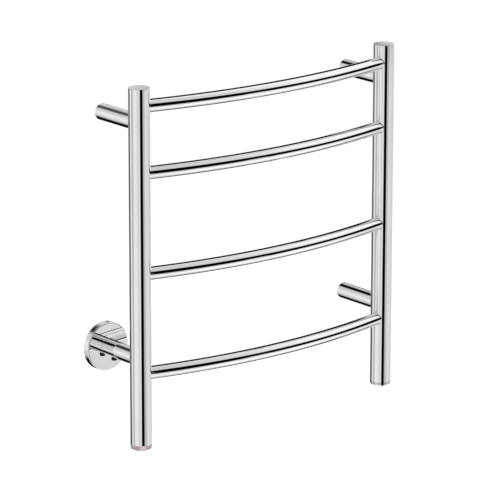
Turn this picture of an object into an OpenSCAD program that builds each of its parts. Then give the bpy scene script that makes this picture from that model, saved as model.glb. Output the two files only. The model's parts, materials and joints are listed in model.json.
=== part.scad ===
// Heated towel rail for a wall: two posts, four bowed bars, four arms and a push switch.
// The origin is on the wall, midway between the upper fixings.
// +X points right, +Y into the wall and +Z up.

/* [Posts] */
// Distance between the axes of the two posts
post_pitch = 468; // [400:1:900]
// Height of the posts above the highest bar, cap included
top_end = 28.5; // [16:0.5:120]
// Outer diameter of a post
post_d = 32; // [31:0.5:40]
// Wall of the post tubes
post_wall = 1.2; // [1:0.1:1.6]
// Thickness of the caps that close the posts
cap_plate = 2; // [1.5:0.1:4]
// Depth of the spigot that seats a cap in its post
cap_spigot = 4; // [3:0.5:8]
// Rounding of a cap's edge
cap_edge = 0.6; // [0.3:0.1:1]

/* [Bars] */
// Outer diameter of a bar
bar_d = 20; // [17:0.5:24]
// Wall of the bar tubes
bar_wall = 1.2; // [1:0.1:1.6]
// How far the bars bow out in front of the posts
bow = 31; // [20:1:60]
// Height of the lowest bar above the foot of the posts
first_bar = 107.5; // [60:0.5:200]
// Distance between the three lower bars
wide_pitch = 152; // [80:1:250]
// Distance between the two upper bars
narrow_pitch = 100; // [50:1:200]
// How far a bar reaches past the inner face of the post's wall
bar_reach = 2; // [1:0.5:3]
// Gap round a tube where it is let in or coped for its weld
weld_gap = 0.05; // [0.02:0.01:0.1]

/* [Arms] */
// Length of the arms, from the wall to the axes of the posts
arm_length = 90; // [85:1:140]
// Outer diameter of an arm
arm_d = 25; // [24:0.5:29]
// Wall of the arm tubes
arm_wall = 1.5; // [1.2:0.1:2]
// Height of the lower arms above the lowest bar
lower_arm_rise = 23; // [0:0.5:60]
// Distance of the upper arms below the highest bar
upper_arm_drop = 24; // [0:0.5:60]

/* [Wall bosses] */
// Length of a boss from the wall
boss_length = 34; // [30:1:40]
// Thickness of the boss at the wall
boss_base = 5; // [3:0.5:8]
// Wall of the boss, deep enough for the locking groove
boss_wall = 5.5; // [4.5:0.1:6.5]
// Radial clearance between a boss and its arm
boss_fit = 0.1; // [0.05:0.01:0.2]
// Diameter of the wall screw's hole
fixing_d = 5.5; // [4.5:0.5:6.5]
// Bevel on the nose of a boss
boss_bevel = 1; // [0.5:0.1:1.5]

/* [Locking screws] */
// Distance from the wall to the locking screws
screw_back = 25.5; // [22:0.5:27]
// Diameter of the locking screws
screw_d = 5; // [4:0.5:6]
// Radial clearance round a locking screw
screw_gap = 0.05; // [0.02:0.01:0.1]
// Depth of the groove that the locking screws grip
groove_depth = 2.5; // [1.5:0.1:3]
// Width of that groove beyond the screw, on each side
groove_side = 0.4; // [0.2:0.1:1]
// How far a grub screw sits below the arm's surface
grub_sink = 0.2; // [0.1:0.1:0.5]
// Hexagon key of the grub screws
grub_key = 2.5; // [2:0.5:3]
// Diameter of the supply arm's screw head
head_d = 8.5; // [7:0.5:10]
// Height of that head
head_h = 5; // [3:0.5:6]
// Hexagon key of that head
head_key = 4; // [3:0.5:5]

/* [Supply] */
// Diameter of the wall plate
plate_d = 66; // [60:1:70]
// Thickness of the wall plate
plate_t = 2; // [1.5:0.1:3]
// Distance between the wall plate's fixing holes
plate_hole_pitch = 50; // [44:1:54]
// Diameter of those holes
plate_hole_d = 4.5; // [3.5:0.5:5.5]
// Diameter of the cable entry through the spigot
entry_d = 14; // [10:0.5:15]
// Gap between the wall plate's rim and the wall of the rose
plate_gap = 2.8; // [1:0.1:8]
// Depth of the cover rose from the wall
rose_depth = 11; // [10:0.5:13]
// Wall of the cover rose
rose_wall = 1.2; // [1:0.1:1.6]
// Rounding of the rose's front edge
rose_edge = 1; // [0.4:0.1:1]
// Radial clearance between the rose and its arm
rose_fit = 0.1; // [0.05:0.01:0.1]
// Depth of the collar inside the rose
collar_depth = 6.5; // [5:0.5:7]
// Wall of that collar
collar_wall = 3; // [2.5:0.1:4]
// Depth of the groove for the grip ring
grip_groove = 1.6; // [1.2:0.1:2]
// Play of the rose before the screw head stops it
rose_play = 0.4; // [0.2:0.1:1]
// Width of the connector in the supply arm
block_w = 16; // [14:0.5:17]
// Length of that connector
block_l = 22; // [18:1:28]
// Gap between the connector's corners and the tube
block_gap = 0.05; // [0.02:0.01:0.1]
// Distance from the boss's nose to the connector
block_space = 3; // [1:0.5:8]
// Distance between the connector's three ways
way_pitch = 4.8; // [4.2:0.1:5]
// Outer diameter of the connector's brass tubes
way_d = 3.6; // [3:0.1:3.8]
// Diameter of the terminal screws
way_screw_d = 2.4; // [2:0.1:2.8]
// How far those screws sit below the connector's face
way_screw_sink = 0.9; // [0.2:0.1:2]
// Width of their slots
way_slot_w = 0.5; // [0.4:0.1:0.8]
// Depth of their slots
way_slot = 0.6; // [0.4:0.1:1]

/* [Cables] */
// Diameter of the heating cable
cable_d = 4; // [3:0.5:5]
// Diameter of the switch lead
lead_d = 5; // [4:0.5:6]
// Radius of the cables' bends
bend_r = 8; // [7:0.5:9]
// Clearance round a cable where it passes a hole
cable_gap = 0.3; // [0.2:0.1:1]
// Extra width of the post's hole for the switch lead, which bends there
lead_room = 1; // [0.5:0.1:2]
// Gap between the cable and the floor of a bar
cable_lift = 0.05; // [0.02:0.01:0.2]

/* [Switch] */
// Height of the light ring below the post
ring_h = 7; // [4:0.5:8]
// Rounding of the ring's lower edge
ring_edge = 1; // [0.5:0.1:2]
// Width of the ledge that the button rests on
ledge_w = 1.3; // [1:0.1:2]
// Depth of that ledge below the end of the post
ledge_drop = 1; // [0.5:0.1:2]
// Wall of the ring's spigot
ring_wall = 1.2; // [1:0.1:1.5]
// How far the button stands below the ring
button_out = 2; // [2:0.1:4]
// Travel of the button
button_travel = 1.5; // [1:0.1:1.8]
// Radial gap round the button
button_gap = 0.3; // [0.2:0.05:0.5]
// Thickness of the button's face and wall
button_wall = 1.5; // [1.2:0.1:2]
// Thickness of the button's flange
button_flange = 1.2; // [0.8:0.1:1.5]
// Bevel on the edge of the button's face
button_bevel = 0.4; // [0.2:0.1:0.8]
// Radius of the dish in the button's face
dish_r = 60; // [50:1:120]
// Depth of that dish
dish_depth = 0.5; // [0.3:0.1:0.8]
// Diameter of the spring's wire
wire_d = 0.8; // [0.6:0.1:1]
// Mean diameter of the spring
spring_d = 12.6; // [12:0.1:14]
// Turns of the spring
spring_turns = 5; // [4:1:6]
// Height of the circuit board above the end of the post
board_z = 5; // [4:0.5:8]
// Thickness of the circuit board
board_t = 1.6; // [1:0.1:2]
// Gap round the circuit board
board_gap = 0.15; // [0.1:0.05:0.3]
// Gap between the board's tall parts and the housing
part_gap = 0.4; // [0.2:0.1:0.8]
// Number of indicator lights
lights = 3; // [2:1:8]
// Angle of the first light from the line between the posts
first_light = 3; // [0:1:119]
// Wall of the housing's skirt
skirt_wall = 0.9; // [0.7:0.1:1.2]
// Height of the housing
housing_h = 34; // [30:1:45]
// Wall of the housing above the board
housing_wall = 2.7; // [2.4:0.1:3]
// Clearance of the housing in the post and of the pieces in the housing
slip_gap = 0.05; // [0.02:0.01:0.1]
// Height of the O-ring's groove above the end of the post
seal_z = 14; // [10:0.5:25]
// Depth of the O-ring's groove
seal_groove = 1.5; // [1:0.1:1.8]
// Depth of the plug that closes the housing
plug_depth = 5; // [3:0.5:8]
// Thickness of the plug's flange
plug_flange = 1.5; // [1:0.1:3]
// Height of the lead terminals
terminal_h = 8; // [6:0.5:12]
// Diameter of the lead terminals
terminal_d = 5; // [5:0.1:5.5]
// Gap between a lead terminal and the wall of the housing
terminal_gap = 1.4; // [0.5:0.1:2]

/* [Hidden] */

$fn = 72;
past = 1; // how far a cutter runs past what it cuts

// Places. Heights on a post count from its foot.
post_x = post_pitch / 2;
post_y = -arm_length;
post_r = post_d / 2;
bore_r = post_r - post_wall;
last_bar = first_bar + 2 * wide_pitch + narrow_pitch;
lower_arm = first_bar + lower_arm_rise;
upper_arm = last_bar - upper_arm_drop;
arm_pitch = upper_arm - lower_arm;
foot_z = -upper_arm;
tube_top = last_bar + top_end - cap_plate;

// Bars. Each follows an arc through both post axes.
bar_heights = [last_bar, first_bar + 2 * wide_pitch, first_bar + wide_pitch, first_bar];
arc_r = (pow(post_x, 2) + pow(bow, 2)) / (2 * bow);
arc_half = asin(post_x / arc_r);
arc_y = post_y - bow + arc_r;
bar_trim = bore_r - bar_reach;
bar_half = arc_half - asin(bar_trim / arc_r);

// Arms and bosses
arm_r = arm_d / 2;
arm_bore_r = arm_r - arm_wall;
boss_r = arm_bore_r - boss_fit;
groove_r = boss_r - groove_depth;
groove_half = screw_d / 2 + groove_side;

// Rose
rose_r = plate_d / 2 + plate_gap + rose_wall;
rose_bore_r = arm_r + rose_fit;
collar_r = rose_bore_r + collar_wall;
grip_d = grip_groove + rose_fit - slip_gap;
grip_z = rose_depth - collar_depth / 2;
rose_travel = screw_back - head_d / 2 - rose_depth - rose_play;

// Connector: its four corners touch the inside of the arm
block_h = 2 * sqrt(pow(arm_bore_r - block_gap, 2) - pow(block_w / 2, 2));
block_start = boss_length + block_space;

// Switch, from the post's bore inwards
housing_r = bore_r - slip_gap;
housing_in_r = housing_r - housing_wall;
seal_d = seal_groove + slip_gap; // squeezed between the groove and the post
skirt_r = housing_r - skirt_wall;
spigot_r = skirt_r - slip_gap;
spigot_in_r = spigot_r - ring_wall;
button_hole_r = spigot_in_r - ledge_w;
button_r = button_hole_r - button_gap;
flange_r = spigot_in_r - button_gap;
button_face = -ring_h - button_out;
button_floor = button_face + button_wall;
board_r = skirt_r - board_gap;
board_top = board_z + board_t;
light_r = (spigot_r + spigot_in_r) / 2;
light_size = [2, 1, 1];
key_size = [6, 6, 3.3];
key_tip = 1.5;
key_tip_d = 3.4;
terminal_top = board_top + terminal_h;
relay_size = [6, 9, 11];
can_d = 7;
can_h = 11;
lead_offset = housing_in_r - terminal_d / 2 - terminal_gap;

module at_post(side) {
    translate([side * post_x, post_y, foot_z]) children();
}

// Local +Z runs from the wall along the arm and local +Y points up.
module at_arm(side, z) {
    translate([side * post_x, 0, z]) rotate([90, 0, 0]) children();
}

// A rod of radius r that follows a bar's arc, half degrees to each side of its middle
module arc_rod(r, half) {
    rotate([0, 0, -90 - half]) rotate_extrude(angle = 2 * half, $fn = 360)
        translate([arc_r, 0]) circle(r = r, $fn = 72);
}

module at_bar(height) {
    translate([0, arc_y, foot_z + height]) children();
}

module tube(r, wall, z0, z1) {
    difference() {
        translate([0, 0, z0]) cylinder(r = r, h = z1 - z0);
        translate([0, 0, z0 - past]) cylinder(r = r - wall, h = z1 - z0 + 2 * past);
    }
}

module hex_hole(key, depth) {
    cylinder(d = key / cos(30), h = depth, $fn = 6);
}

// Post tubes, with a saddle hole where each bar is let in
module left_post() {
    color("silver") difference() {
        at_post(-1) tube(post_r, post_wall, 0, tube_top);
        for (height = bar_heights)
            at_bar(height) arc_rod(bar_d / 2 + weld_gap, arc_half);
        at_arm(-1, -arm_pitch) translate([0, 0, arm_length - post_r - past])
            cylinder(d = lead_d + 2 * cable_gap + lead_room, h = post_r);
    }
}

module right_post() {
    color("silver") difference() {
        at_post(1) tube(post_r, post_wall, cap_plate, tube_top);
        for (height = bar_heights)
            at_bar(height) arc_rod(bar_d / 2 + weld_gap, arc_half);
    }
}

// Cap on the end of a post: its plate shows and its spigot is inside the tube
module post_cap() {
    color("silver") rotate_extrude() difference() {
        union() {
            square([post_r - cap_edge, cap_plate]);
            square([post_r, cap_plate - cap_edge]);
            translate([post_r - cap_edge, cap_plate - cap_edge]) circle(r = cap_edge, $fn = 32);
            translate([0, -cap_spigot]) square([bore_r - slip_gap, cap_spigot]);
        }
        translate([-past, -cap_spigot - past])
            square([bore_r - slip_gap - post_wall + past, cap_spigot + past]);
    }
}

module left_top_cap() {
    at_post(-1) translate([0, 0, tube_top]) post_cap();
}

module right_top_cap() {
    at_post(1) translate([0, 0, tube_top]) post_cap();
}

module right_foot_cap() {
    at_post(1) translate([0, 0, cap_plate]) mirror([0, 0, 1]) post_cap();
}

// Bowed tube whose ends stand just inside the posts
module towel_bar(height) {
    color("gainsboro") at_bar(height) difference() {
        arc_rod(bar_d / 2, bar_half);
        arc_rod(bar_d / 2 - bar_wall, bar_half + asin(past / arc_r));
    }
}

// Arm tube from z = start, coped to the post and drilled below for its locking screw
module arm(start) {
    color("silver") difference() {
        tube(arm_r, arm_wall, start, arm_length);
        translate([0, 0, arm_length]) rotate([90, 0, 0])
            cylinder(r = post_r + weld_gap, h = arm_d + 2 * past, center = true);
        translate([0, 0, screw_back]) rotate([90, 0, 0])
            cylinder(d = screw_d + 2 * screw_gap, h = arm_d);
    }
}

// Half section of a boss with a bore of radius `inner` and the groove for its locking screw
module boss_profile(inner) {
    polygon([
        [inner, 0], [boss_r, 0],
        [boss_r, screw_back - groove_half], [groove_r, screw_back - groove_half],
        [groove_r, screw_back + groove_half], [boss_r, screw_back + groove_half],
        [boss_r, boss_length - boss_bevel], [boss_r - boss_bevel, boss_length],
        [inner, boss_length]
    ]);
}

// Turned boss screwed to the wall through its base; the arm slides over it
module wall_boss() {
    color("darkgray") difference() {
        rotate_extrude() boss_profile(fixing_d / 2);
        translate([0, 0, boss_base]) cylinder(r = boss_r - boss_wall, h = boss_length);
    }
}

// Plate under the rose, with the supply boss let into it and the cable entry through both
module supply_wall_plate() {
    color("darkgray") at_arm(-1, -arm_pitch) difference() {
        cylinder(d = plate_d, h = plate_t);
        translate([0, 0, -past]) cylinder(r = boss_r + weld_gap, h = plate_t + 2 * past);
        for (side = [-1, 1])
            translate([side * plate_hole_pitch / 2, 0, -past])
                cylinder(d = plate_hole_d, h = plate_t + 2 * past);
    }
}

module supply_boss() {
    color("darkgray") at_arm(-1, -arm_pitch) rotate_extrude() boss_profile(entry_d / 2);
}

// Screws stand on the groove's floor and point down. Their z axis is the screw's axis.
module at_screw() {
    translate([0, -groove_r, screw_back]) rotate([90, 0, 0]) children();
}

module grub_screw() {
    length = arm_r - grub_sink - groove_r;
    difference() {
        cylinder(d = screw_d, h = length);
        translate([0, 0, length / 2]) hex_hole(grub_key, length);
    }
}

module grub_screws() {
    color("dimgray") {
        at_arm(-1, 0) at_screw() grub_screw();
        at_arm(1, 0) at_screw() grub_screw();
        at_arm(1, -arm_pitch) at_screw() grub_screw();
    }
}

module supply_locking_screw() {
    shank = arm_r - groove_r;
    color("dimgray") at_arm(-1, -arm_pitch) at_screw() difference() {
        union() {
            cylinder(d = screw_d, h = shank + head_h / 2);
            translate([0, 0, shank]) cylinder(d = head_d, h = head_h);
        }
        translate([0, 0, shank + head_h / 2]) hex_hole(head_key, head_h);
    }
}

// Spun cover, open to the wall, with a grooved collar round the arm
module cover_rose() {
    color("silver") at_arm(-1, -arm_pitch) rotate_extrude() difference() {
        union() {
            square([rose_r - rose_edge, rose_depth]);
            square([rose_r, rose_depth - rose_edge]);
            translate([rose_r - rose_edge, rose_depth - rose_edge]) circle(r = rose_edge, $fn = 32);
        }
        translate([collar_r, -past])
            square([rose_r - rose_wall - collar_r, rose_depth - rose_wall + past]);
        translate([-past, -past]) square([rose_r - rose_wall + past, rose_depth - collar_depth + past]);
        translate([-past, -past]) square([rose_bore_r + past, rose_depth + 2 * past]);
        translate([rose_bore_r - past, grip_z - grip_d / 2])
            square([grip_groove + past, grip_d]);
    }
}

module rose_grip_ring() {
    color("black") at_arm(-1, -arm_pitch) translate([0, 0, grip_z]) rotate_extrude()
        translate([arm_r + slip_gap + grip_d / 2, 0]) circle(d = grip_d, $fn = 32);
}

// Connector in the supply arm: three brass tubes, each with two terminal screws
module at_ways() {
    for (way = [-1, 0, 1]) translate([way * way_pitch, 0, block_start]) children();
}

module at_way_screws() {
    at_ways() for (share = [0.25, 0.75])
        translate([0, 0, share * block_l]) rotate([-90, 0, 0]) children();
}

module supply_connector() {
    color("ivory") at_arm(-1, -arm_pitch) difference() {
        translate([-block_w / 2, -block_h / 2, block_start]) cube([block_w, block_h, block_l]);
        at_ways() translate([0, 0, -past]) cylinder(d = way_d, h = block_l + 2 * past);
        at_way_screws() cylinder(d = way_screw_d + 2 * slip_gap, h = block_h);
    }
}

module connector_tubes() {
    color("goldenrod") at_arm(-1, -arm_pitch) difference() {
        at_ways() translate([0, 0, block_l * 0.1])
            cylinder(d = way_d - 2 * slip_gap, h = block_l * 0.8);
        at_ways() translate([0, 0, -past])
            cylinder(d = way_d * 0.6, h = block_l + 2 * past);
        at_way_screws() cylinder(d = way_screw_d + 2 * slip_gap, h = block_h);
    }
}

module connector_screws() {
    floor = way_d * 0.3;
    length = block_h / 2 - way_screw_sink - floor;
    color("darkgray") at_arm(-1, -arm_pitch) at_way_screws() translate([0, 0, floor])
        difference() {
            cylinder(d = way_screw_d, h = length);
            translate([-way_screw_d, -way_slot_w / 2, length - way_slot])
                cube([2 * way_screw_d, way_slot_w, way_slot + past]);
        }
}

// Routes: points with the sharp turns rounded to the bend radius
function unit(v) = v / norm(v);
function turn(p, i) = acos(min(1, unit(p[i] - p[i - 1]) * unit(p[i + 1] - p[i])));
function bend(before, corner, after, angle) =
    let (
        u = unit(corner - before),
        v = unit(after - corner),
        w = unit(v - (v * u) * u),
        centre = corner - u * bend_r * tan(angle / 2) + w * bend_r,
        steps = ceil(angle / 22)
    )
    [for (k = [0 : steps]) centre + bend_r * (u * sin(k * angle / steps) - w * cos(k * angle / steps))];
function rounded(p) = [
    for (i = [0 : len(p) - 1])
        for (q = i == 0 || i == len(p) - 1 || turn(p, i) < 8
            ? [p[i]] : bend(p[i - 1], p[i], p[i + 1], turn(p, i))) q
];
function in_post(side, x, y, z) = [side * post_x + x, post_y + y, foot_z + z];
// Points along the floor of a bar, from the left post to the right one
function in_bar(height, steps = 12) = [
    for (k = [1 : steps - 1])
        let (a = arc_half * (2 * k / steps - 1))
        [arc_r * sin(a), arc_y - arc_r * cos(a), foot_z + height]
];
function reversed(p) = [for (i = [len(p) - 1 : -1 : 0]) p[i]];

// Round rod swept along a route; its cross-section never twists.
module swept(route, d, sides = 8) {
    last = len(route) - 1;
    t = [for (i = [0 : last]) unit(route[min(i + 1, last)] - route[max(i - 1, 0)])];
    first = abs(t[0].z) > 0.9 ? [1, 0, 0] : [0, 0, 1];
    n = [for (i = 0, v = unit(first - (first * t[0]) * t[0]); i <= last;
        i = i + 1, v = i <= last ? unit(v - (v * t[i]) * t[i]) : v) v];
    points = [
        for (i = [0 : last]) for (k = [0 : sides - 1])
            route[i] + d / 2 * (cos(360 * k / sides) * n[i] + sin(360 * k / sides) * cross(t[i], n[i]))
    ];
    skin = [
        for (i = [0 : last - 1]) for (k = [0 : sides - 1])
            let (a = i * sides + k, b = i * sides + (k + 1) % sides)
            for (tri = [[a, a + sides, b], [b, a + sides, b + sides]]) tri
    ];
    ends = [[for (k = [0 : sides - 1]) k], [for (k = [sides - 1 : -1 : 0]) last * sides + k]];
    polyhedron(points, concat(skin, ends), convexity = 10);
}

// Loop of heating cable: up the left post, through the bars in turn and back to the switch
bar_floor = bar_d / 2 - bar_wall - cable_d / 2 - cable_lift;
levels = [for (height = bar_heights) height - bar_floor];
heating_route = concat(
    [in_post(-1, -lead_offset, 0, terminal_top), in_post(-1, -lead_offset, 0, levels[0] - 45),
        in_post(-1, 0, 0, levels[0] - 20), in_post(-1, 0, 0, levels[0])],
    in_bar(levels[0]),
    [in_post(1, 0, 0, levels[0]), in_post(1, 0, 0, levels[1])],
    reversed(in_bar(levels[1])),
    [in_post(-1, 0, 0, levels[1]), in_post(-1, 0, 0, levels[2])],
    in_bar(levels[2]),
    [in_post(1, 0, 0, levels[2]), in_post(1, 0, 0, levels[3])],
    reversed(in_bar(levels[3])),
    [in_post(-1, 0, 0, levels[3]), in_post(-1, 0, 0, terminal_top)]
);
lead_route = [
    [-post_x, -block_start - block_l, -arm_pitch], in_post(-1, 0, lead_offset, lower_arm),
    in_post(-1, 0, lead_offset, terminal_top)
];

module heating_cable() {
    color("darkred") swept(rounded(heating_route), cable_d);
}

module switch_lead() {
    color("white") swept(rounded(lead_route), lead_d);
}

// Housing in the post: a skirt over the ring's spigot and the board, then the electronics' bay
module switch_housing() {
    color("darkslategray") at_post(-1) rotate_extrude() polygon([
        [skirt_r, 0], [housing_r, 0], [housing_r, seal_z],
        [housing_r - seal_groove, seal_z], [housing_r - seal_groove, seal_z + seal_d],
        [housing_r, seal_z + seal_d], [housing_r, housing_h], [housing_in_r, housing_h],
        [housing_in_r, board_top], [skirt_r, board_top]
    ]);
}

module housing_seal() {
    color("black") at_post(-1) translate([0, 0, seal_z + seal_d / 2]) rotate_extrude()
        translate([bore_r - seal_d / 2, 0]) circle(d = seal_d, $fn = 32);
}

// Where the three cables pass the plug and land on the board
cable_places = [[-lead_offset, 0, cable_d], [0, 0, cable_d], [0, lead_offset, lead_d]];

module cable_plug() {
    color("dimgray") at_post(-1) difference() {
        union() {
            translate([0, 0, housing_h - plug_depth])
                cylinder(r = housing_in_r - slip_gap, h = plug_depth);
            translate([0, 0, housing_h]) cylinder(r = housing_r, h = plug_flange);
        }
        for (place = cable_places)
            translate([place.x, place.y, housing_h - plug_depth - past])
                cylinder(d = place.z + 2 * cable_gap, h = plug_depth + plug_flange + 2 * past);
    }
}

module control_board() {
    color("darkgreen") at_post(-1) translate([0, 0, board_z]) cylinder(r = board_r, h = board_t);
}

module lead_terminals() {
    color("goldenrod") at_post(-1) for (place = cable_places)
        translate([place.x, place.y, board_top]) cylinder(d = terminal_d, h = terminal_h);
}

module relay() {
    color("royalblue") at_post(-1)
        translate([sqrt(pow(housing_in_r - part_gap, 2) - pow(relay_size.y * 2 / 3, 2)) - relay_size.x,
            -relay_size.y * 2 / 3, board_top]) cube(relay_size);
}

module capacitor() {
    color("slateblue") at_post(-1)
        translate([-0.25 * housing_in_r, part_gap + can_d / 2
            - sqrt(pow(housing_in_r, 2) - pow(0.25 * housing_in_r, 2)), board_top])
            cylinder(d = can_d, h = can_h);
}

// Indicator lights under the board, in pockets of the ring's spigot
module at_lights() {
    for (k = [0 : lights - 1])
        rotate([0, 0, first_light + k * 360 / lights]) translate([light_r, 0, board_z]) children();
}

module indicator_lights() {
    color("pink") at_post(-1) at_lights()
        translate([-light_size.y / 2, -light_size.x / 2, -light_size.z])
            cube([light_size.y, light_size.x, light_size.z]);
}

module micro_switch() {
    color("black") at_post(-1) {
        translate([-key_size.x / 2, -key_size.y / 2, board_z - key_size.z]) cube(key_size);
        translate([0, 0, board_z - key_size.z - key_tip])
            cylinder(d = key_tip_d, h = key_tip + key_size.z / 2);
    }
}

// Ring that shines at the foot of the post; its inner ledge keeps the button in
module light_ring() {
    color("plum") at_post(-1) difference() {
        rotate_extrude() difference() {
            union() {
                translate([0, -ring_h]) square([post_r - ring_edge, ring_h]);
                translate([0, ring_edge - ring_h]) square([post_r, ring_h - ring_edge]);
                translate([post_r - ring_edge, ring_edge - ring_h]) circle(r = ring_edge, $fn = 32);
                square([spigot_r, board_z]);
            }
            translate([-past, -ring_h - past]) square([button_hole_r + past, ring_h + board_z + 2 * past]);
            translate([-past, -ledge_drop]) square([spigot_in_r + past, board_z + ledge_drop + past]);
        }
        at_lights() translate([0, 0, -light_size.z / 2])
            cube([2 * ring_wall, light_size.x + 0.4, 1.4 * light_size.z], center = true);
    }
}

// Button: a cup with a dished face, a flange on the ledge and a post below the micro switch
module push_button() {
    flange_top = button_flange - ledge_drop;
    cup_r = button_r - button_wall;
    post_top = board_z - key_size.z - key_tip - button_travel - slip_gap;
    color("silver") at_post(-1) rotate_extrude() difference() {
        polygon([
            [0, button_face], [button_r - button_bevel, button_face],
            [button_r, button_face + button_bevel], [button_r, -ledge_drop],
            [flange_r, -ledge_drop], [flange_r, flange_top], [cup_r, flange_top],
            [cup_r, button_floor], [terminal_d / 2, button_floor], [terminal_d / 2, post_top],
            [0, post_top]
        ]);
        translate([0, button_face + dish_depth - dish_r]) circle(r = dish_r, $fn = 360);
    }
}

// Compression spring between the button's floor and the board
module return_spring() {
    height = board_z - button_floor - wire_d;
    steps = 14 * spring_turns;
    route = [
        for (k = [0 : steps])
            let (a = 360 * spring_turns * k / steps)
            in_post(-1, spring_d / 2 * cos(a), spring_d / 2 * sin(a),
                button_floor + wire_d / 2 + height * k / steps)
    ];
    color("gray") swept(route, wire_d, 6);
}

left_post();
right_post();
left_top_cap();
right_top_cap();
right_foot_cap();
towel_bar(bar_heights[0]);  // towel_bar_1
towel_bar(bar_heights[1]);  // towel_bar_2
towel_bar(bar_heights[2]);  // towel_bar_3
towel_bar(bar_heights[3]);  // towel_bar_4
at_arm(-1, 0) arm(0);  // upper_left_arm
at_arm(1, 0) arm(0);  // upper_right_arm
at_arm(1, -arm_pitch) arm(0);  // lower_right_arm
at_arm(-1, -arm_pitch) arm(plate_t);  // supply_arm
at_arm(-1, 0) wall_boss();  // upper_left_boss
at_arm(1, 0) wall_boss();  // upper_right_boss
at_arm(1, -arm_pitch) wall_boss();  // lower_right_boss
supply_boss();
supply_wall_plate();
grub_screws();
supply_locking_screw();
cover_rose();
rose_grip_ring();
supply_connector();
connector_tubes();
connector_screws();
heating_cable();
switch_lead();
switch_housing();
housing_seal();
cable_plug();
control_board();
lead_terminals();
relay();
capacitor();
indicator_lights();
micro_switch();
light_ring();
push_button();
return_spring();
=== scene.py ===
# Heated towel rail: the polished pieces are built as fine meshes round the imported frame.
# Everything is in metres and in the frame's own axes: +X right, +Y into the wall, +Z up.

import json
from math import asin, cos, hypot, pi, radians, sin, sqrt

import bmesh
import bpy
from mathutils import Matrix, Vector


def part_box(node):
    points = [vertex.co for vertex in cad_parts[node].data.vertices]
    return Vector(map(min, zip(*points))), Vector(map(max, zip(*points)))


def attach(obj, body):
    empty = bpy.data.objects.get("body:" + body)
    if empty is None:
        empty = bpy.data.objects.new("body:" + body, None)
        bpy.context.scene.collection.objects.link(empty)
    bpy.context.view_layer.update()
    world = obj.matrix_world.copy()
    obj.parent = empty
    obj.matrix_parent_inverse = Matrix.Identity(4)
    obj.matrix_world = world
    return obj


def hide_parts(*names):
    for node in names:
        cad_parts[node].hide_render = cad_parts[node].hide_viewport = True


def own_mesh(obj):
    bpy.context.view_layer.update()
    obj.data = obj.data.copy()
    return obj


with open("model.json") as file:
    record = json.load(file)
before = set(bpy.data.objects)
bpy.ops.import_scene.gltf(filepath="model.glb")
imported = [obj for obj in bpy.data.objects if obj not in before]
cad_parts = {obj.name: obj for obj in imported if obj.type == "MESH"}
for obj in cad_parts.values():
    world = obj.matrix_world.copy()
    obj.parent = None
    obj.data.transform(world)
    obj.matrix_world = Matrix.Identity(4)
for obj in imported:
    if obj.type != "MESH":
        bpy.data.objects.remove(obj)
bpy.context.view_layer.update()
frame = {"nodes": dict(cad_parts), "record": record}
nodes = frame["nodes"]
up = Vector((0, 0, 1))
outward = Vector((0, -1, 0))  # away from the wall
print("frame loaded:", len(nodes), "nodes")


# The camera stands far off, to the left and a little above
camera = {
    "target": (-0.02715, -0.090, -0.22715),
    "distance": 5.650,
    "turn": 39.12,  # degrees, from straight at the wall
    "tilt": 15.61,
    "roll": 0.094,
    "lens": 272.2,
    "sensor": 36,
    "clip": (0.1, 60),
}


def addCamera():
    turn, tilt, roll = (radians(camera[key]) for key in ("turn", "tilt", "roll"))
    ahead = Vector((sin(turn) * cos(tilt), cos(turn) * cos(tilt), -sin(tilt)))
    level = Vector((cos(turn), -sin(turn), 0))
    right = level * cos(roll) + level.cross(ahead) * sin(roll)
    top = right.cross(ahead)
    data = bpy.data.cameras.new("camera")
    data.lens, data.sensor_width = camera["lens"], camera["sensor"]
    data.clip_start, data.clip_end = camera["clip"]
    eye = bpy.data.objects.new("camera", data)
    turned = Matrix((right, top, -ahead)).transposed().to_4x4()
    eye.matrix_world = Matrix.Translation(Vector(camera["target"]) - ahead * camera["distance"]) @ turned
    bpy.context.scene.collection.objects.link(eye)
    bpy.context.scene.camera = eye


addCamera()
print("camera set")


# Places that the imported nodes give
def middle(name):
    low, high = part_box(name)
    return (low + high) / 2


def halfSize(name):
    low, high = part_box(name)
    return (high - low) / 2


postRadius = halfSize("left_post").x
postX = middle("right_post").x
postY = middle("right_post").y
barRadius = halfSize("towel_bar_1").z
bow = postY - (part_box("towel_bar_1")[0].y + barRadius)
arcRadius = (postX ** 2 + bow ** 2) / (2 * bow)
arcY = postY - bow + arcRadius
armRadius = halfSize("upper_left_arm").x


# Mesh tools
meshing = {
    "merge": 1e-7,  # points closer than this become one
    "sharp": 35,  # degrees from which an edge is shaded sharp
    "eased": 40,  # and from which it is bevelled
    "bevelSteps": 3,
    "holeSteps": 48,
}


def newPiece(name, rows, body="rail", closed=True):
    # A skin over rows of points. Each row is a ring, and with closed the last row meets the first.
    net = bmesh.new()
    points = [[net.verts.new(point) for point in row] for row in rows]
    count = len(rows[0])
    for i in range(len(rows) if closed else len(rows) - 1):
        here, there = points[i], points[(i + 1) % len(rows)]
        for j in range(count):
            k = (j + 1) % count
            net.faces.new((here[j], here[k], there[k], there[j]))
    bmesh.ops.remove_doubles(net, verts=net.verts, dist=meshing["merge"])
    bmesh.ops.recalc_face_normals(net, faces=net.faces)
    mesh = bpy.data.meshes.new(name)
    net.to_mesh(mesh)
    net.free()
    piece = bpy.data.objects.new(name, mesh)
    bpy.context.scene.collection.objects.link(piece)
    shadeSmooth(piece)
    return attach(piece, body)


def shadeSmooth(piece):
    piece.data.polygons.foreach_set("use_smooth", [True] * len(piece.data.polygons))
    piece.data.set_sharp_from_angle(angle=radians(meshing["sharp"]))


def ringAngles(steps):
    return [2 * pi * k / steps for k in range(steps)]


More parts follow.
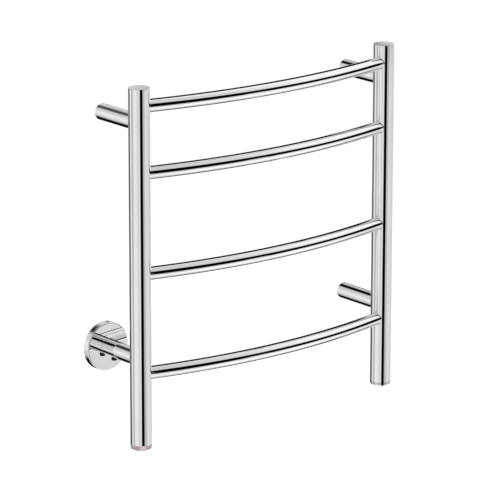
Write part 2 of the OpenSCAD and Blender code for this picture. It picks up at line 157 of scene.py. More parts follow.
def lathe(profile, origin, along, steps=128):
    # Turns a profile of (radius, height) about a line from origin
    side = along.orthogonal().normalized()
    across = along.cross(side)
    return [[origin + along * height + (side * cos(a) + across * sin(a)) * radius
             for a in ringAngles(steps)] for radius, height in profile]


def corner(radius, height, size, start, end, steps=6):
    # Points of a rounded corner whose arc centre is at (radius, height)
    angles = [radians(start + (end - start) * k / steps) for k in range(steps + 1)]
    return [(radius + size * cos(a), height + size * sin(a)) for a in angles]


def applyModifiers(piece):
    graph = bpy.context.evaluated_depsgraph_get()
    made = bpy.data.meshes.new_from_object(piece.evaluated_get(graph))
    piece.modifiers.clear()
    piece.data = made


def drill(piece, origin, along, radius, depth):
    profile = [(0, 0), (radius, 0), (radius, depth), (0, depth)]
    cutter = newPiece("cutter", lathe(profile, origin, along, meshing["holeSteps"]), closed=False)
    cut = piece.modifiers.new("hole", "BOOLEAN")
    cut.operation, cut.solver, cut.object = "DIFFERENCE", "EXACT", cutter
    bpy.context.view_layer.update()
    applyModifiers(piece)
    bpy.data.objects.remove(cutter)
    shadeSmooth(piece)


def easeEdges(piece, width):
    # Breaks the sharp edges and keeps the flats flat in their reflections
    bevel = piece.modifiers.new("edges", "BEVEL")
    bevel.width, bevel.segments = width, meshing["bevelSteps"]
    bevel.limit_method, bevel.angle_limit = "ANGLE", radians(meshing["eased"])
    bevel.harden_normals = True
    keepFlats(piece)


def keepFlats(piece):
    weighted = piece.modifiers.new("flats", "WEIGHTED_NORMAL")
    weighted.keep_sharp = True


# Material tools
noiseSpan = (0.3, 0.7)  # most values of a noise lie between these


def newMaterial(name):
    material = bpy.data.materials.new(name)
    material.use_nodes = True
    return material, material.node_tree, material.node_tree.nodes["Principled BSDF"]


def addNode(tree, kind, inputs=None, **settings):
    made = tree.nodes.new("ShaderNode" + kind)
    for key, value in settings.items():
        setattr(made, key, value)
    for key, value in (inputs or {}).items():
        if isinstance(value, bpy.types.NodeSocket):
            tree.links.new(value, made.inputs[key])
        else:
            made.inputs[key].default_value = value
    return made


def maths(tree, operation, *values):
    return addNode(tree, "Math", dict(enumerate(values)), operation=operation).outputs[0]


def spread(tree, value, low, high, fromLow=0.0, fromHigh=1.0):
    return addNode(tree, "MapRange", {"Value": value, "From Min": fromLow, "From Max": fromHigh,
                                      "To Min": low, "To Max": high}).outputs[0]


def noise(tree, place, scale, detail=3.0, stretch=None):
    if stretch:
        place = addNode(tree, "Mapping", {"Vector": place, "Scale": stretch}).outputs[0]
    return addNode(tree, "TexNoise", {"Vector": place, "Scale": scale, "Detail": detail}).outputs["Fac"]


def blendColours(tree, factor, first, second):
    made = addNode(tree, "Mix", {0: factor, 6: (*first, 1), 7: (*second, 1)}, data_type="RGBA")
    return made.outputs[2]


def setBump(tree, shader, height, strength, distance):
    bump = addNode(tree, "Bump", {"Height": height, "Strength": strength, "Distance": distance})
    tree.links.new(bump.outputs[0], shader.inputs["Normal"])


def objectPlace(tree):
    return addNode(tree, "TexCoord").outputs["Object"]


polished = {
    "bright": (0.90, 0.90, 0.89),
    "worn": (0.85, 0.85, 0.845),
    "clear": 0.012,  # roughness where the polish is clean
    "hazy": 0.04,  # and where it was wiped by hand
    "patches": 24,  # hazy patches, per metre
    "hazySpan": (0.45, 0.8),  # values of the patches' noise over which they turn hazy
    "wornSpan": (0.4, 0.75),
    "grain": 2600,  # polishing lines, per metre
    "lineHaze": 0.012,
    "relief": 0.02,
    "depth": 0.00002,
}


def polishedSteel(name, stretch):
    # Mirror polish: faint lines left by the polishing belt, and hazy patches
    material, tree, shader = newMaterial(name)
    place = objectPlace(tree)
    patches = noise(tree, place, polished["patches"], detail=4)
    lines = noise(tree, place, polished["grain"], detail=2, stretch=stretch)
    haze = spread(tree, patches, polished["clear"], polished["hazy"], *polished["hazySpan"])
    rough = maths(tree, "MULTIPLY_ADD", lines, polished["lineHaze"], haze)
    tree.links.new(rough, shader.inputs["Roughness"])
    wear = spread(tree, patches, 0, 1, *polished["wornSpan"])
    tree.links.new(blendColours(tree, wear, polished["bright"], polished["worn"]),
                   shader.inputs["Base Color"])
    shader.inputs["Metallic"].default_value = 1
    setBump(tree, shader, lines, polished["relief"], polished["depth"])
    return material


turned = {
    "bright": (0.66, 0.66, 0.65),
    "dark": (0.44, 0.44, 0.43),
    "lines": 1500,
    "rough": (0.2, 0.38),
    "relief": 0.4,
    "depth": 0.00005,
    "armX": postX,
    "armZ": (middle("upper_left_arm").z - middle("supply_arm").z) / 2,
}


def turnedSteel(name):
    # Tool marks run in rings round the axis of the nearest arm
    material, tree, shader = newMaterial(name)
    place = addNode(tree, "SeparateXYZ", {"Vector": objectPlace(tree)}).outputs
    aside = maths(tree, "SUBTRACT", maths(tree, "ABSOLUTE", place["X"]), turned["armX"])
    above = maths(tree, "SUBTRACT", maths(tree, "ABSOLUTE", maths(tree, "ADD", place["Z"], turned["armZ"])),
                  turned["armZ"])
    out = maths(tree, "SQRT", maths(tree, "ADD", maths(tree, "MULTIPLY", aside, aside),
                                    maths(tree, "MULTIPLY", above, above)))
    along = maths(tree, "SUBTRACT", out, place["Y"])
    rings = addNode(tree, "TexNoise", {"W": along, "Scale": turned["lines"], "Detail": 4.0},
                    noise_dimensions="1D").outputs["Fac"]
    rings = spread(tree, rings, 0, 1, *noiseSpan)
    tree.links.new(blendColours(tree, rings, turned["dark"], turned["bright"]), shader.inputs["Base Color"])
    tree.links.new(spread(tree, rings, *turned["rough"]), shader.inputs["Roughness"])
    shader.inputs["Metallic"].default_value = 1
    setBump(tree, shader, rings, turned["relief"], turned["depth"])
    return material


plated = {"duller": 0.08, "shinier": 0.05, "finer": 12, "relief": 0.08, "depth": 0.00003}


def plainMetal(name, bright, dark, rough, scale):
    # Plated or drawn metal with dull patches
    material, tree, shader = newMaterial(name)
    place = objectPlace(tree)
    patches = noise(tree, place, scale, detail=5)
    tree.links.new(blendColours(tree, patches, dark, bright), shader.inputs["Base Color"])
    uneven = spread(tree, patches, rough + plated["duller"], rough - plated["shinier"], *noiseSpan)
    tree.links.new(uneven, shader.inputs["Roughness"])
    shader.inputs["Metallic"].default_value = 1
    grain = noise(tree, place, scale * plated["finer"], detail=2)
    setBump(tree, shader, grain, plated["relief"], plated["depth"])
    return material


mould = {"clouds": 180, "vary": 0.06, "relief": 0.15, "depth": 0.00004}


def moulded(name, colour, shade, rough, grain, sockets=None):
    # Plastic or rubber: cloudy colour and a fine moulded grain
    material, tree, shader = newMaterial(name)
    place = objectPlace(tree)
    clouds = noise(tree, place, mould["clouds"], detail=3)
    tree.links.new(blendColours(tree, clouds, shade, colour), shader.inputs["Base Color"])
    tree.links.new(spread(tree, clouds, rough - mould["vary"], rough + mould["vary"], *noiseSpan),
                   shader.inputs["Roughness"])
    setBump(tree, shader, noise(tree, place, grain, detail=2), mould["relief"], mould["depth"])
    for key, value in (sockets or {}).items():
        shader.inputs[key].default_value = value
    return material


board = {
    "green": (0.02, 0.17, 0.075),
    "paler": (0.025, 0.2, 0.09),
    "track": (0.06, 0.33, 0.14),
    "tracks": 260,
    "trackWidth": 0.012,
    "grain": 900,
    "rough": (0.28, 0.42),
    "relief": 0.3,
    "depth": 0.00003,
    "coat": 0.4,
}


def circuitBoard(name):
    # Green coat over copper tracks
    material, tree, shader = newMaterial(name)
    place = objectPlace(tree)
    tracks = addNode(tree, "TexBrick", {"Vector": place, "Scale": board["tracks"],
                                        "Mortar Size": board["trackWidth"], "Color1": (*board["green"], 1),
                                        "Color2": (*board["paler"], 1), "Mortar": (*board["track"], 1)})
    tree.links.new(tracks.outputs["Color"], shader.inputs["Base Color"])
    grain = noise(tree, place, board["grain"], detail=3)
    tree.links.new(spread(tree, grain, *board["rough"]), shader.inputs["Roughness"])
    setBump(tree, shader, tracks.outputs["Fac"], board["relief"], board["depth"])
    shader.inputs["Coat Weight"].default_value = board["coat"]
    return material


glow = {
    "tint": (0.33, 0.255, 0.28),
    "pale": (0.52, 0.42, 0.46),
    "light": (1.0, 0.82, 0.88),
    "strength": 0.42,  # of the ring's light
    "boardStrength": 0.8,  # of the lamps behind it
    "paintedGlowSpots": 3,  # painted glow spots round the ring
    "firstSpot": 3,  # degrees from the right
    "between": 0.25,  # share of the light that is left between the spots
    "waveSpan": (0.5, 1),  # values of the wave over which a spot grows
    "clouds": 160,
    "shimmer": (0.7, 1.2),
    "shimmerSpan": (0.35, 0.65),
    "rough": (0.08, 0.18),
    "grain": 1500,
    "relief": 0.05,
    "depth": 0.00002,
    "scatter": 0.35,
    "scatterReach": (0.002, 0.0014, 0.0016),
    "coat": 0.6,
}


def litResin(name, strength):
    # Tinted resin that glows, brighter in spots round the post. On the ring the glow is painted: emission
    # stands in for the lamps inside shining through the resin, and one spot sits near the side that faces
    # the camera.
    material, tree, shader = newMaterial(name)
    place = objectPlace(tree)
    clouds = noise(tree, place, glow["clouds"], detail=3)
    flat = addNode(tree, "SeparateXYZ", {"Vector": place}).outputs
    turn = maths(tree, "ARCTAN2", maths(tree, "SUBTRACT", flat["Y"], postY),
                 maths(tree, "ADD", flat["X"], postX))
    turn = maths(tree, "SUBTRACT", turn, radians(glow["firstSpot"]))
    wave = maths(tree, "COSINE", maths(tree, "MULTIPLY", turn, glow["paintedGlowSpots"]))
    paintedGlowSpots = maths(tree, "MULTIPLY", spread(tree, wave, glow["between"], 1, *glow["waveSpan"]),
                  spread(tree, clouds, *glow["shimmer"], *glow["shimmerSpan"]))
    tree.links.new(blendColours(tree, spread(tree, clouds, 0, 1, *noiseSpan), glow["tint"], glow["pale"]),
                   shader.inputs["Base Color"])
    tree.links.new(spread(tree, clouds, *glow["rough"]), shader.inputs["Roughness"])
    # Painted glow: emission in the resin in place of light from the lamps inside
    tree.links.new(maths(tree, "MULTIPLY", paintedGlowSpots, strength), shader.inputs["Emission Strength"])
    shader.inputs["Emission Color"].default_value = (*glow["light"], 1)
    shader.inputs["Subsurface Weight"].default_value = glow["scatter"]
    shader.inputs["Subsurface Radius"].default_value = glow["scatterReach"]
    shader.inputs["Coat Weight"].default_value = glow["coat"]
    setBump(tree, shader, noise(tree, place, glow["grain"], detail=2), glow["relief"], glow["depth"])
    return material


# One finish for each of the record's material slots
finishes = {
    "polished_tube": polishedSteel("polished_tube", stretch=(0.02, 0.02, 1)),
    "polished_bar": polishedSteel("polished_bar", stretch=(1, 0.02, 0.02)),
    "polished_arm": polishedSteel("polished_arm", stretch=(0.02, 1, 0.02)),
    "polished_cap": polishedSteel("polished_cap", stretch=(1, 0.05, 0.05)),
    "polished_rose": polishedSteel("polished_rose", stretch=(1, 0.05, 0.05)),
    "polished_button": polishedSteel("polished_button", stretch=(1, 0.05, 0.05)),
    "turned_steel": turnedSteel("turned_steel"),
    "dark_steel": plainMetal("dark_steel", bright=(0.035, 0.035, 0.038), dark=(0.012, 0.012, 0.013),
                             rough=0.34, scale=420),
    "zinc_steel": plainMetal("zinc_steel", bright=(0.68, 0.69, 0.70), dark=(0.5, 0.51, 0.52),
                             rough=0.24, scale=300),
    "brass": plainMetal("brass", bright=(0.82, 0.63, 0.28), dark=(0.62, 0.43, 0.17), rough=0.26, scale=350),
    "nylon": moulded("nylon", (0.88, 0.87, 0.82), shade=(0.8, 0.79, 0.73), rough=0.42, grain=2600,
                     sockets={"Subsurface Weight": 0.2}),
    "cable_sheath": moulded("cable_sheath", (0.42, 0.06, 0.04), shade=(0.3, 0.035, 0.025), rough=0.5,
                            grain=1800, sockets={"Sheen Weight": 0.15}),
    "lead_sheath": moulded("lead_sheath", (0.82, 0.82, 0.8), shade=(0.7, 0.7, 0.68), rough=0.45,
                           grain=1800, sockets={"Sheen Weight": 0.1}),
    "black_plastic": moulded("black_plastic", (0.05, 0.05, 0.055), shade=(0.028, 0.028, 0.03),
                             rough=0.42, grain=3200),
    "black_rubber": moulded("black_rubber", (0.03, 0.03, 0.03), shade=(0.015, 0.015, 0.015), rough=0.62,
                            grain=2400, sockets={"Sheen Weight": 0.2}),
    "board_resin": circuitBoard("board_resin"),
    "relay_case": moulded("relay_case", (0.05, 0.14, 0.4), shade=(0.03, 0.09, 0.3), rough=0.34,
                          grain=2600),
    "capacitor_sleeve": moulded("capacitor_sleeve", (0.06, 0.06, 0.16), shade=(0.03, 0.03, 0.1),
                                rough=0.28, grain=2200, sockets={"Coat Weight": 0.3}),
    "light_resin": litResin("light_resin", glow["boardStrength"]),
    "ring_resin": litResin("ring_resin", glow["strength"]),
}
for subpart in frame["record"]["subparts"]:
    mesh = nodes[subpart["node"]].data
    mesh.materials.clear()
    mesh.materials.append(finishes[subpart["material_slot"]])
print("finishes ready:", len(finishes))


def dress(piece, slot, *replaced):
    # Gives a piece its finish and hides the nodes that it stands for
    piece.data.materials.clear()
    piece.data.materials.append(finishes[slot])
    if replaced:
        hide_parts(*replaced)


# Posts and their caps
post = {"wall": 0.0012, "seam": 0.00012, "capEdge": 0.0006, "capFit": 0.00005, "steps": 160,
        "seamSteps": 3}


def addPost(name, node):
    low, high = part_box(node)
    origin = Vector((middle(node).x, postY, low.z))
    length = high.z - low.z
    inner = postRadius - post["wall"]
    profile = [(postRadius, 0), (postRadius, length), (inner, length), (inner, 0)]
    piece = newPiece(name, lathe(profile, origin, up, post["steps"]))
    easeEdges(piece, post["seam"])
    dress(piece, "polished_tube", node)


def addCap(name, node, tubeEnd):
    # Plate with a rounded rim, and a spigot below it. Every cap is built with its plate up, so the one
    # at the right post's foot comes out upside down: a known fault, which its solid doesn't have.
    low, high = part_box(node)
    plate, spigot = high.z - tubeEnd, tubeEnd - low.z
    edge, seam, inner = post["capEdge"], post["seam"], postRadius - post["wall"] - post["capFit"]
    profile = [(0, plate), *reversed(corner(postRadius - edge, plate - edge, edge, 0, 90)),
               *reversed(corner(postRadius - seam, seam, seam, -90, 0, post["seamSteps"])),
               (inner, 0), (inner, -spigot), (inner - post["wall"], -spigot), (inner - post["wall"], 0),
               (0, 0)]
    origin = Vector((middle(node).x, postY, tubeEnd))
    piece = newPiece(name, lathe(profile, origin, up, post["steps"]), closed=False)
    keepFlats(piece)
    dress(piece, "polished_cap", node)


addPost("post_left", "left_post")
addPost("post_right", "right_post")
addCap("cap_left_top", "left_top_cap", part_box("left_post")[1].z)
addCap("cap_right_top", "right_top_cap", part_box("right_post")[1].z)
addCap("cap_right_foot", "right_foot_cap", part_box("right_post")[0].z)
print("posts built")


# Bowed bars. An angle along the arc counts from its middle.
bar = {"wall": 0.0012, "steps": 96, "stations": 120}
barLevels = [middle("towel_bar_%d" % number).z for number in (1, 2, 3, 4)]


def arcPoint(angle, level, turn, radius):
    # A point on the skin of a bar; turn goes round the bar, from its front to its top
    out = arcRadius + radius * cos(turn)
    return Vector((out * sin(angle), arcY - out * cos(angle), level + radius * sin(turn)))


def addBar(number, level):
    end = asin(halfSize("towel_bar_%d" % number).x / (arcRadius + barRadius))
    angles = [end * (2 * k / bar["stations"] - 1) for k in range(bar["stations"] + 1)]
    turns = ringAngles(bar["steps"])
    skin = [[arcPoint(a, level, t, barRadius) for t in turns] for a in angles]
    bore = [[arcPoint(a, level, t, barRadius - bar["wall"]) for t in turns] for a in reversed(angles)]
    piece = newPiece("bar_%d" % number, skin + bore)
    dress(piece, "polished_bar", "towel_bar_%d" % number)


for number, level in enumerate(barLevels, 1):
    addBar(number, level)
print("bars built")


# Arms, coped to the posts and drilled below for their locking screws
arm = {"wall": 0.0015, "steps": 128, "stations": 5, "edge": 0.0003, "screwGap": 0.00005,
       "holeStart": 0.006, "holeDepth": 0.012}
armNodes = ["upper_left_arm", "upper_right_arm", "lower_right_arm", "supply_arm"]
screwY = middle("grub_screws").y
screwRadius = halfSize("grub_screws").y + arm["screwGap"]


def addArm(node):
    centre, wallEnd = middle(node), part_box(node)[1].y

    def section(radius, share):
        row = []
        for turn in ringAngles(arm["steps"]):
            aside = radius * cos(turn)
            saddle = postY + sqrt(postRadius ** 2 - aside ** 2)
            row.append(Vector((centre.x + aside, wallEnd + (saddle - wallEnd) * share,
                               centre.z + radius * sin(turn))))
        return row

    shares = [k / arm["stations"] for k in range(arm["stations"] + 1)]
    skin = [section(armRadius, share) for share in shares]
    bore = [section(armRadius - arm["wall"], share) for share in reversed(shares)]
    piece = newPiece("tube_" + node, skin + bore)
    start = Vector((centre.x, screwY, centre.z - armRadius + arm["holeStart"]))
    drill(piece, start, -up, screwRadius, arm["holeDepth"])
    easeEdges(piece, arm["edge"])
    dress(piece, "polished_arm", node)


for node in armNodes:
    addArm(node)
print("arms built")


# Polished weld seams, where bars and arms meet the posts
weld = {"size": 0.0005, "steps": 96, "round": 5, "bury": 0.0003, "halvings": 40}


def seamRows(seam):
    # A small hollow fillet between two skins: seam lists a point and both outward normals
    rows = []
    for point, first, second in seam:
        hub = point + (first + second) * (weld["size"] / (1 + first.dot(second)))
        row = [hub - first.slerp(second, k / weld["round"]) * weld["size"] for k in range(weld["round"] + 1)]
        row.append(point - (first + second).normalized() * weld["bury"])
        rows.append(row)
    return rows


def barSeam(side, level):
    # Halves the arc until its point on the bar's skin also lies on the post's
    seam = []
    for turn in ringAngles(weld["steps"]):
        near, far = 0.0, asin(postX / arcRadius)
        for _ in range(weld["halvings"]):
            angle = (near + far) / 2
            point = arcPoint(side * angle, level, turn, barRadius)
            if hypot(point.x - side * postX, point.y - postY) > postRadius:
                near = angle
            else:
                far = angle
        spine = arcPoint(side * angle, level, 0, 0)
        seam.append((point, (point - spine).normalized(),
                     Vector((point.x - side * postX, point.y - postY, 0)).normalized()))
    return seam


def armSeam(centre):
    seam = []
    for turn in ringAngles(weld["steps"]):
        aside = armRadius * cos(turn)
        deep = sqrt(postRadius ** 2 - aside ** 2)
        seam.append((Vector((centre.x + aside, postY + deep, centre.z + armRadius * sin(turn))),
                     Vector((cos(turn), 0, sin(turn))), Vector((aside, deep, 0)).normalized()))
    return seam


for number, level in enumerate(barLevels, 1):
    for side, name in ((-1, "left"), (1, "right")):
        dress(newPiece("weld_bar_%d_%s" % (number, name), seamRows(barSeam(side, level))), "polished_tube")
for node in armNodes:
    dress(newPiece("weld_" + node, seamRows(armSeam(middle(node)))), "polished_arm")
print("weld seams built")


# Cover rose, open to the wall, with the collar that holds its grip ring
rose = {"wall": 0.0012, "edge": 0.0018, "edgeSteps": 8, "collarDepth": 0.0065, "collarWall": 0.003,
        "fit": 0.0001, "groove": 0.0016, "lip": 0.00025, "lipSteps": 4, "steps": 192}


def addRose():
    low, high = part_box("cover_rose")
    radius, depth = (high.x - low.x) / 2, high.y - low.y
    bore = armRadius + rose["fit"]
    gripHalf, gripY = halfSize("rose_grip_ring").y, high.y - middle("rose_grip_ring").y
    inner, collar, ceiling = radius - rose["wall"], bore + rose["collarWall"], depth - rose["wall"]
    back, edge, lip = depth - rose["collarDepth"], rose["edge"], rose["lip"]
    profile = [(radius, 0), *corner(radius - edge, depth - edge, edge, 0, 90, rose["edgeSteps"]),
               *corner(bore + lip, depth - lip, lip, 90, 180, rose["lipSteps"]),
               (bore, gripY + gripHalf), (bore + rose["groove"], gripY + gripHalf),
               (bore + rose["groove"], gripY - gripHalf), (bore, gripY - gripHalf), (bore, back),
               (collar, back), (collar, ceiling), (inner, ceiling), (inner, 0)]
    centre = middle("cover_rose")
    piece = newPiece("rose_cover", lathe(profile, Vector((centre.x, high.y, centre.z)), outward,
                                         rose["steps"]), body="rose")
    keepFlats(piece)
    dress(piece, "polished_rose", "cover_rose")


addRose()
print("rose built")


# Socket screw that locks the supply arm
screw = {"shank": 0.0025, "head": 0.00425, "headHeight": 0.005, "key": 0.002, "socket": 0.0025,
         "socketTip": 0.0006, "ease": 0.0004, "knurls": 32, "stepsPerKnurl": 6, "knurlDepth": 0.00012}


def addLockingScrew():
    low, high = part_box("supply_locking_screw")
    origin = Vector((middle("supply_locking_screw").x, middle("supply_locking_screw").y, high.z))
    length = high.z - low.z
    shoulder, ease = length - screw["headHeight"], screw["ease"]
    steps = screw["knurls"] * screw["stepsPerKnurl"]

    def hexRadius(turn):
        # from the middle of the key to its side
        return screw["key"] / cos((turn + pi / 6) % (pi / 3) - pi / 6)

    def loop(radius, height, knurl=0.0, hexShare=0.0):
        row = []
        for turn in ringAngles(steps):
            out = radius * (1 - hexShare) + hexRadius(turn) * hexShare
            out -= knurl * (0.5 + 0.5 * cos(turn * screw["knurls"]))
            row.append(origin - up * height + Vector((cos(turn) * out, sin(turn) * out, 0)))
        return row

    head, depth = screw["head"], screw["knurlDepth"]
    rows = [loop(0, 0), loop(screw["shank"], 0), loop(screw["shank"], shoulder),
            loop(head - ease / 2, shoulder), loop(head, shoulder + ease / 2, depth),
            loop(head, length - ease * 1.5, depth), loop(head - ease * 0.3, length - ease * 0.5),
            loop(head - ease, length), loop(0, length, 0, 1), loop(0, length - screw["socket"], 0, 1),
            loop(0, length - screw["socket"] - screw["socketTip"])]
    piece = newPiece("locking_screw", rows, closed=False)
    dress(piece, "dark_steel", "supply_locking_screw")


addLockingScrew()
print("locking screw built")


# Light ring and push button at the foot of the left post
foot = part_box("left_post")[0].z
ring = {"edge": 0.001, "edgeSteps": 8, "hole": 0.0113, "ledge": 0.001, "spigot": 0.0138, "bore": 0.0126,
        "ease": 0.0002}
button = {"radius": 0.011, "bevel": 0.0004, "wall": 0.0015, "rim": 0.0012, "dishDepth": 0.0005,
          "dishSteps": 12, "ledge": 0.001, "stem": 0.0025, "stemTop": 0.00135}


def addLightRing():
    low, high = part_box("light_ring")
    radius, bottom, top = (high.x - low.x) / 2, low.z - foot, high.z - foot
    edge = ring["edge"]
    profile = [(ring["hole"], bottom),
               *corner(radius - edge, bottom + edge, edge, -90, 0, ring["edgeSteps"]), (radius, 0),
               (ring["spigot"], 0), (ring["spigot"], top), (ring["bore"], top),
               (ring["bore"], -ring["ledge"]), (ring["hole"], -ring["ledge"])]
    piece = newPiece("light_ring_body", lathe(profile, Vector((-postX, postY, foot)), up))
    easeEdges(piece, ring["ease"])
    dress(piece, "ring_resin", "light_ring")


def addButton():
    low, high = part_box("push_button")
    flange, face, top = (high.x - low.x) / 2, low.z - foot, high.z - foot
    radius, bevel, cup = button["radius"], button["bevel"], button["radius"] - button["wall"]
    rim, steps = radius - bevel - button["rim"], button["dishSteps"]
    dish = [(rim * k / steps, face + button["dishDepth"] * (1 - (k / steps) ** 2)) for k in range(steps + 1)]
    profile = [*dish, *corner(radius - bevel, face + bevel, bevel, -90, 0),
               (radius, -button["ledge"]), (flange, -button["ledge"]), (flange, top), (cup, top),
               (cup, face + button["wall"]), (button["stem"], face + button["wall"]),
               (button["stem"], -button["stemTop"]), (0, -button["stemTop"])]
    piece = newPiece("button_cap", lathe(profile, Vector((-postX, postY, foot)), up), body="button",
                     closed=False)
    keepFlats(piece)
    dress(piece, "polished_button", "push_button")


# The return spring, built as a coil the size of its solid; the real one shortens when the button is pressed
spring = {"wire": 0.0004, "turns": 5, "stepsPerTurn": 28, "round": 12, "travel": 0.0015}


def addSpring():
    low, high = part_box("return_spring")
    radius = (high.x - low.x) / 2 - spring["wire"]
    bottom, rise = low.z + spring["wire"], high.z - low.z - 2 * spring["wire"]
    count = spring["turns"] * spring["stepsPerTurn"]
    rows = []
    for k in range(count + 1):
        turn = 2 * pi * k / spring["stepsPerTurn"]
        away = Vector((cos(turn), sin(turn), 0))
        ahead = (away.cross(-up) * radius * 2 * pi * spring["turns"] + up * rise).normalized()
        over = ahead.cross(away)
        spot = Vector((-postX, postY, bottom + rise * k / count)) + away * radius
        rows.append([spot + (away * cos(a) + over * sin(a)) * spring["wire"]
                     for a in ringAngles(spring["round"])])
    rows = [[rows[0][0].lerp(rows[0][spring["round"] // 2], 0.5)] * spring["round"], *rows,
            [rows[-1][0].lerp(rows[-1][spring["round"] // 2], 0.5)] * spring["round"]]
    piece = newPiece("spring_coil", rows, closed=False)
    dress(piece, "zinc_steel", "return_spring")
    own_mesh(piece)


addLightRing()
addButton()
addSpring()
print("switch built")


# A studio that the metal mirrors: a white background, a grey room in front of it, then soft dark and
# bright cards. Angles are in degrees. Sideways, 0 points straight out from the wall and 90 to the right;
# heights are above the horizon. top and bottom give a card's edge at its left and at its right end, and
# soft is half the width over which it fades out. A later card covers an earlier one, and greyRoom runs
# past a full turn, so that it has no side edges.
studio = {"light": 0.7, "background": 1.0}
cards = {
    "greyRoom": dict(left=-190, right=190, top=(70, 70), bottom=(-70, -70), soft=5, level=0.7),
    "paleLeft": dict(left=-150, right=-20, top=(15, -15), bottom=(-15, -60), soft=5, level=0.9),
    "greyLeft": dict(left=-128, right=-85, top=(20, 30), bottom=(-45, 15), soft=5, level=0.5),
    "greyStripLeft": dict(left=-60, right=-45, top=(10, -10), bottom=(-90, -35), soft=10, level=0.65),
    "greyWall": dict(left=140, right=210, top=(10, 25), bottom=(-30, -25), soft=1, level=0.45),
    "blackBelowFront": dict(left=-15, right=40, top=(-15, -19), bottom=(-5, -40), soft=6, level=0),
    "brightBelowRight": dict(left=15, right=85, top=(-17, -30), bottom=(-60, -45), soft=20, level=1.2),
    "brightAboveRight": dict(left=40, right=125, top=(35, 95), bottom=(15, 10), soft=20, level=1.05),
    "blackBelowRight": dict(left=80, right=130, top=(-30, -40), bottom=(-40, -90), soft=10, level=0),
    "blackAboveRight": dict(left=118, right=140, top=(90, 45), bottom=(30, 15), soft=5, level=0),
    "blackEdgeRight": dict(left=130, right=142, top=(35, 90), bottom=(35, 5), soft=1, level=0),
    "blackAboveWall": dict(left=155, right=205, top=(90, 40), bottom=(40, 30), soft=8, level=0),
    "blackBelowWall": dict(left=140, right=203, top=(-30, -5), bottom=(-65, -90), soft=10, level=0),
    "blackFront": dict(left=-31, right=1, top=(40, 50), bottom=(-55, -45), soft=5, level=0),
    "blackFrontRight": dict(left=8, right=30, top=(30, 25), bottom=(-12, -12), soft=1, level=0),
    "blackRight": dict(left=10, right=55, top=(38, 12), bottom=(-13, -5), soft=5, level=0),
    "blackLowRight": dict(left=35, right=68, top=(12, 15), bottom=(-12, -12), soft=1, level=0),
    "blackOverhead": dict(left=-110, right=35, top=(90, 90), bottom=(45, 60), soft=5, level=0),
}


def backgroundRays(tree):
    # 1 for rays that show the white background: those of the camera, and those off metal or through glass
    path = addNode(tree, "LightPath").outputs
    shiny = maths(tree, "MAXIMUM", path["Is Glossy Ray"], path["Is Transmission Ray"])
    return maths(tree, "MAXIMUM", path["Is Camera Ray"], shiny)


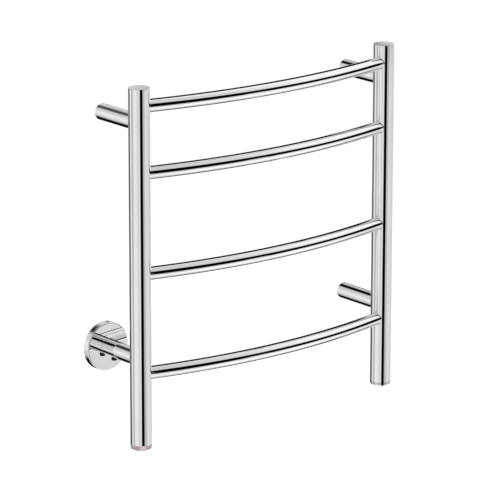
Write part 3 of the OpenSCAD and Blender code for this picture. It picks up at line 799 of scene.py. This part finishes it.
def addStudio():
    world = bpy.data.worlds.new("studio")
    bpy.context.scene.world = world
    world.use_nodes = True
    tree = world.node_tree
    tree.nodes.clear()
    way = addNode(tree, "SeparateXYZ", {"Vector": addNode(tree, "TexCoord").outputs["Generated"]}).outputs
    turn = maths(tree, "MULTIPLY", maths(tree, "ARCTAN2", way["X"], maths(tree, "MULTIPLY", way["Y"], -1)),
                 180 / pi)
    height = maths(tree, "MULTIPLY", maths(tree, "ARCSINE", way["Z"]), 180 / pi)

    def step(value, soft):
        # 0 to 1 while value runs from -soft to soft
        return addNode(tree, "MapRange", {"Value": value, "From Min": -soft, "From Max": soft},
                       interpolation_type="SMOOTHSTEP").outputs[0]

    level = spread(tree, backgroundRays(tree), studio["light"], studio["background"])
    for card in cards.values():
        middleTurn, half = (card["left"] + card["right"]) / 2, (card["right"] - card["left"]) / 2
        aside = maths(tree, "WRAP", maths(tree, "SUBTRACT", turn, middleTurn), 180, -180)
        top = spread(tree, aside, *card["top"], -half, half)
        bottom = spread(tree, aside, *card["bottom"], -half, half)
        inside = step(maths(tree, "SUBTRACT", half, maths(tree, "ABSOLUTE", aside)), card["soft"])
        inside = maths(tree, "MULTIPLY", inside, step(maths(tree, "SUBTRACT", top, height), card["soft"]))
        inside = maths(tree, "MULTIPLY", inside, step(maths(tree, "SUBTRACT", height, bottom), card["soft"]))
        level = addNode(tree, "Mix", {0: inside, 2: level, 3: card["level"]}, data_type="FLOAT").outputs[0]
    # The camera itself sees none of the cards
    seen = addNode(tree, "LightPath").outputs["Is Camera Ray"]
    strength = addNode(tree, "Mix", {0: seen, 2: level, 3: studio["background"]}, data_type="FLOAT")
    light = addNode(tree, "Background", {"Strength": strength.outputs[0], "Color": (1, 1, 1, 1)})
    tree.links.new(light.outputs[0], addNode(tree, "OutputWorld").inputs["Surface"])


floor = {"height": -1.15, "half": 8.0, "colour": (0.8, 0.8, 0.8), "rough": 0.9, "lift": 0.62}


def addFloor():
    # Pale and plain; it lets a camera below look through it
    mesh = bpy.data.meshes.new("floor")
    h, z = floor["half"], floor["height"]
    mesh.from_pydata([(-h, -h, z), (h, -h, z), (h, h, z), (-h, h, z)], [], [(0, 1, 2, 3)])
    sheet = bpy.data.objects.new("floor", mesh)
    bpy.context.scene.collection.objects.link(sheet)
    sheet.visible_glossy = False
    material, tree, shader = newMaterial("floor")
    shader.inputs["Base Color"].default_value = (*floor["colour"], 1)
    shader.inputs["Roughness"].default_value = floor["rough"]
    shader.inputs["Specular IOR Level"].default_value = 0
    strength = maths(tree, "MULTIPLY", backgroundRays(tree), floor["lift"])
    lift = addNode(tree, "Emission", {"Strength": strength})
    both = addNode(tree, "AddShader", {0: shader.outputs[0], 1: lift.outputs[0]})
    behind = addNode(tree, "NewGeometry").outputs["Backfacing"]
    shown = addNode(tree, "MixShader", {0: behind, 1: both.outputs[0],
                                        2: addNode(tree, "BsdfTransparent").outputs[0]})
    tree.links.new(shown.outputs[0], tree.nodes["Material Output"].inputs["Surface"])
    mesh.materials.append(material)


lamp = {"place": (-1.6, -2.2, 2.4), "aim": (0, -0.1, -0.3), "size": 1.6, "power": 50}


def addLamp():
    data = bpy.data.lights.new("soft_lamp", "AREA")
    data.shape, data.size, data.energy = "DISK", lamp["size"], lamp["power"]
    softLamp = bpy.data.objects.new("soft_lamp", data)
    softLamp.location = lamp["place"]
    aim = Vector(lamp["aim"]) - Vector(lamp["place"])
    softLamp.rotation_euler = aim.to_track_quat("-Z", "Y").to_euler()
    softLamp.visible_glossy = False
    bpy.context.scene.collection.objects.link(softLamp)


addStudio()
addFloor()
addLamp()
bpy.context.scene.view_settings.view_transform = "Standard"
print("studio lit")
